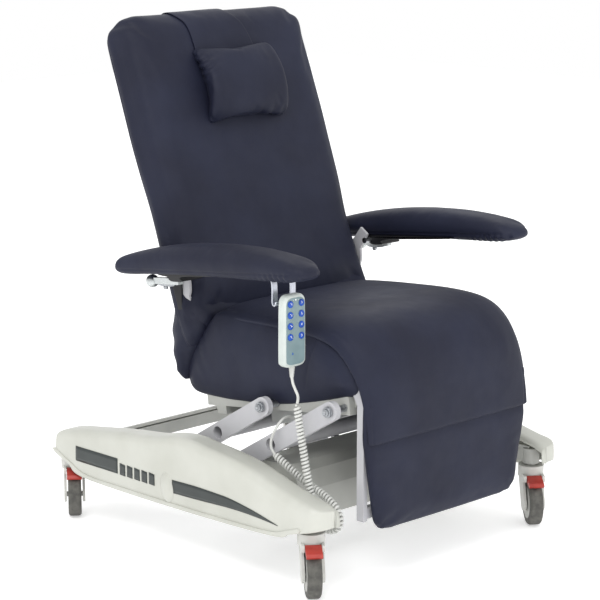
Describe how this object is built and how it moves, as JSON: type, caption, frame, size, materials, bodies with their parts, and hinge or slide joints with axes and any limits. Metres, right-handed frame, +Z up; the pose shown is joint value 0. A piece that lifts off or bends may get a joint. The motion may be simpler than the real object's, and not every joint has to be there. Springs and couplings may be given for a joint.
{
  "type": "patient recliner chair",
  "caption": "Wheeled clinical recliner with powered parallelogram lift, reclining back, swinging legrest, fold-up arms, head pillow and corded handset.",
  "frame": {"origin": "on the floor under the middle of the base's outline, with the casters parked as stored", "axes": "+Z up; the sitter faces -Y; +X is the sitter's left, so the handset hangs at -X"},
  "size_m": [0.824, 0.9064, 1.1663],
  "materials": {
    "cover_plastic": "satin moulded ABS",
    "shroud_plastic": "satin moulded ABS",
    "caster_plastic": "moulded nylon",
    "hub_plastic": "moulded nylon",
    "tyre_rubber": "grey non-marking polyurethane tread",
    "pedal_plastic": "red moulded nylon",
    "pin_steel": "zinc-plated",
    "chassis_steel": "grey powder coat",
    "white_steel": "white powder coat",
    "black_steel": "black powder coat",
    "leatherette": "dark navy leatherette over foam",
    "motor_plastic": "textured housing",
    "rod_steel": "polished",
    "box_plastic": "textured housing",
    "knob_aluminium": "satin",
    "handset_plastic": "pale grey-green moulded ABS",
    "hook_steel": "light grey powder coat",
    "boot_rubber": "soft moulded",
    "key_plastic": "blue moulded keys",
    "cord_plastic": "pale grey polyurethane jacket"
  },
  "bodies": {
    "base": {"chassis_frame": "chassis_steel", "side_cover_right": "cover_plastic", "side_cover_left": "cover_plastic", "cross_covers": "shroud_plastic", "base_pins": "pin_steel", "lift_motor": "motor_plastic"},
    "caster_front_right": {"fork_front_right": "caster_plastic"},
    "wheel_front_right": {"tyre_front_right": "tyre_rubber", "hub_front_right": "hub_plastic"},
    "pedal_front_right": {"brake_pedal_front_right": "pedal_plastic"},
    "caster_front_left": {"fork_front_left": "caster_plastic"},
    "wheel_front_left": {"tyre_front_left": "tyre_rubber", "hub_front_left": "hub_plastic"},
    "pedal_front_left": {"brake_pedal_front_left": "pedal_plastic"},
    "caster_rear_right": {"fork_rear_right": "caster_plastic"},
    "wheel_rear_right": {"tyre_rear_right": "tyre_rubber", "hub_rear_right": "hub_plastic"},
    "pedal_rear_right": {"brake_pedal_rear_right": "pedal_plastic"},
    "caster_rear_left": {"fork_rear_left": "caster_plastic"},
    "wheel_rear_left": {"tyre_rear_left": "tyre_rubber", "hub_rear_left": "hub_plastic"},
    "pedal_rear_left": {"brake_pedal_rear_left": "pedal_plastic"},
    "lift_front": {"front_lift_arms": "white_steel"},
    "lift_rear": {"rear_lift_arms": "white_steel"},
    "lift_rod": {"lift_rod": "rod_steel"},
    "seat": {"seat_frame": "chassis_steel", "seat_cushion": "leatherette", "control_box": "box_plastic", "seat_pins": "pin_steel", "arm_brackets": "white_steel", "back_motor": "motor_plastic", "leg_motor": "motor_plastic", "cord_coil": "cord_plastic", "cord_tail": "cord_plastic"},
    "back_rod": {"back_rod": "rod_steel"},
    "leg_rod": {"leg_rod": "rod_steel"},
    "back": {"back_frame": "chassis_steel", "back_cushion": "leatherette", "head_strap": "leatherette"},
    "pillow": {"head_pillow": "leatherette"},
    "legrest": {"leg_frame": "white_steel", "leg_cushion": "leatherette"},
    "armrest_right": {"arm_pad_right": "leatherette", "arm_plate_right": "black_steel", "handset_hook": "hook_steel", "cord_lead": "cord_plastic"},
    "plunger_right": {"arm_plunger_right": "knob_aluminium"},
    "armrest_left": {"arm_pad_left": "leatherette", "arm_plate_left": "black_steel"},
    "plunger_left": {"arm_plunger_left": "knob_aluminium"},
    "handset": {"handset_shell": "handset_plastic", "handset_boot": "boot_rubber"},
    "key_1": {"button_1": "key_plastic"},
    "key_2": {"button_2": "key_plastic"},
    "key_3": {"button_3": "key_plastic"},
    "key_4": {"button_4": "key_plastic"},
    "key_5": {"button_5": "key_plastic"},
    "key_6": {"button_6": "key_plastic"},
    "key_7": {"button_7": "key_plastic"},
    "key_8": {"button_8": "key_plastic"}
  },
  "joints": [
    {"name": "swivel_front_right", "type": "hinge", "parent": "base", "child": "caster_front_right", "pos_m": [-0.36, -0.375, 0.15], "axis": [0, 0, 1], "continuous": true},
    {"name": "roll_front_right", "type": "hinge", "parent": "caster_front_right", "child": "wheel_front_right", "pos_m": [-0.37851, -0.39861, 0.052], "axis": [0.787, -0.617, 0], "continuous": true},
    {"name": "brake_front_right", "type": "hinge", "parent": "caster_front_right", "child": "pedal_front_right", "pos_m": [-0.38344, -0.40491, 0.1105], "axis": [-0.787, 0.617, 0], "range_deg": [0, 15]},
    {"name": "swivel_front_left", "type": "hinge", "parent": "base", "child": "caster_front_left", "pos_m": [0.36, -0.375, 0.15], "axis": [0, 0, 1], "continuous": true},
    {"name": "roll_front_left", "type": "hinge", "parent": "caster_front_left", "child": "wheel_front_left", "pos_m": [0.34149, -0.39861, 0.052], "axis": [0.787, -0.617, 0], "continuous": true},
    {"name": "brake_front_left", "type": "hinge", "parent": "caster_front_left", "child": "pedal_front_left", "pos_m": [0.33655, -0.40491, 0.1105], "axis": [-0.787, 0.617, 0], "range_deg": [0, 15]},
    {"name": "swivel_rear_right", "type": "hinge", "parent": "base", "child": "caster_rear_right", "pos_m": [-0.36, 0.423, 0.15], "axis": [0, 0, 1], "continuous": true},
    {"name": "roll_rear_right", "type": "hinge", "parent": "caster_rear_right", "child": "wheel_rear_right", "pos_m": [-0.37851, 0.39939, 0.052], "axis": [0.787, -0.617, 0], "continuous": true},
    {"name": "brake_rear_right", "type": "hinge", "parent": "caster_rear_right", "child": "pedal_rear_right", "pos_m": [-0.38344, 0.3931, 0.1105], "axis": [-0.787, 0.617, 0], "range_deg": [0, 15]},
    {"name": "swivel_rear_left", "type": "hinge", "parent": "base", "child": "caster_rear_left", "pos_m": [0.36, 0.423, 0.15], "axis": [0, 0, 1], "continuous": true},
    {"name": "roll_rear_left", "type": "hinge", "parent": "caster_rear_left", "child": "wheel_rear_left", "pos_m": [0.34149, 0.39939, 0.052], "axis": [0.787, -0.617, 0], "continuous": true},
    {"name": "brake_rear_left", "type": "hinge", "parent": "caster_rear_left", "child": "pedal_rear_left", "pos_m": [0.33655, 0.3931, 0.1105], "axis": [-0.787, 0.617, 0], "range_deg": [0, 15]},
    {"name": "lift", "type": "hinge", "parent": "base", "child": "lift_front", "pos_m": [0, -0.002, 0.1647], "axis": [-1, 0, 0], "range_deg": [0, 28]},
    {"name": "lift_follow", "type": "hinge", "parent": "base", "child": "lift_rear", "pos_m": [0, 0.205, 0.1367], "axis": [-1, 0, 0], "range_deg": [0, 28]},
    {"name": "seat_level", "type": "hinge", "parent": "lift_front", "child": "seat", "pos_m": [0, -0.36201, 0.38102], "axis": [-1, 0, 0], "range_deg": [-28, 0]},
    {"name": "lift_stroke", "type": "slide", "parent": "base", "child": "lift_rod", "axis": [0, 0.9122, 0.4097], "range_m": [0, 0.0412]},
    {"name": "recline", "type": "hinge", "parent": "seat", "child": "back", "pos_m": [0, 0.112, 0.42], "axis": [-1, 0, 0], "range_deg": [0, 60]},
    {"name": "recline_stroke", "type": "slide", "parent": "seat", "child": "back_rod", "axis": [0, 0.9986, 0.0532], "range_m": [-0.0851, 0]},
    {"name": "legrest_lift", "type": "hinge", "parent": "seat", "child": "legrest", "pos_m": [0, -0.388, 0.428], "axis": [-1, 0, 0], "range_deg": [0, 80]},
    {"name": "legrest_stroke", "type": "slide", "parent": "seat", "child": "leg_rod", "axis": [0, -0.9868, 0.162], "range_m": [0, 0.0965]},
    {"name": "pillow_height", "type": "slide", "parent": "back", "child": "pillow", "axis": [0, 0.3584, 0.9336], "range_m": [-0.06, 0.04]},
    {"name": "armrest_swing_right", "type": "hinge", "parent": "seat", "child": "armrest_right", "pos_m": [-0.29, 0.084, 0.616], "axis": [-1, 0, 0], "range_deg": [0, 78]},
    {"name": "armrest_release_right", "type": "slide", "parent": "armrest_right", "child": "plunger_right", "axis": [0, 0.9936, -0.1132], "range_m": [0, 0.01], "stiffness_N_per_m": 400, "springref_m": -0.004},
    {"name": "armrest_swing_left", "type": "hinge", "parent": "seat", "child": "armrest_left", "pos_m": [0.29, 0.084, 0.616], "axis": [-1, 0, 0], "range_deg": [0, 78]},
    {"name": "armrest_release_left", "type": "slide", "parent": "armrest_left", "child": "plunger_left", "axis": [0, 0.9936, -0.1132], "range_m": [0, 0.01], "stiffness_N_per_m": 400, "springref_m": -0.004},
    {"name": "handset_unhook", "type": "slide", "parent": "armrest_right", "child": "handset", "axis": [0, 0, 1], "range_m": [0, 0.025]},
    {"name": "key_press_1", "type": "slide", "parent": "handset", "child": "key_1", "axis": [0, 1, 0], "range_m": [0, 0.001], "stiffness_N_per_m": 500},
    {"name": "key_press_2", "type": "slide", "parent": "handset", "child": "key_2", "axis": [0, 1, 0], "range_m": [0, 0.001], "stiffness_N_per_m": 500},
    {"name": "key_press_3", "type": "slide", "parent": "handset", "child": "key_3", "axis": [0, 1, 0], "range_m": [0, 0.001], "stiffness_N_per_m": 500},
    {"name": "key_press_4", "type": "slide", "parent": "handset", "child": "key_4", "axis": [0, 1, 0], "range_m": [0, 0.001], "stiffness_N_per_m": 500},
    {"name": "key_press_5", "type": "slide", "parent": "handset", "child": "key_5", "axis": [0, 1, 0], "range_m": [0, 0.001], "stiffness_N_per_m": 500},
    {"name": "key_press_6", "type": "slide", "parent": "handset", "child": "key_6", "axis": [0, 1, 0], "range_m": [0, 0.001], "stiffness_N_per_m": 500},
    {"name": "key_press_7", "type": "slide", "parent": "handset", "child": "key_7", "axis": [0, 1, 0], "range_m": [0, 0.001], "stiffness_N_per_m": 500},
    {"name": "key_press_8", "type": "slide", "parent": "handset", "child": "key_8", "axis": [0, 1, 0], "range_m": [0, 0.001], "stiffness_N_per_m": 500}
  ],
  "couplings": [
    {"joint": "lift_follow", "follows": "lift", "ratio": 1},
    {"joint": "seat_level", "follows": "lift", "ratio": -1},
    {"joint": "lift_stroke", "follows": "lift", "m_per_rad": 0.084163},
    {"joint": "recline_stroke", "follows": "recline", "m_per_rad": -0.081169},
    {"joint": "legrest_stroke", "follows": "legrest_lift", "m_per_rad": 0.069056}
  ]
}
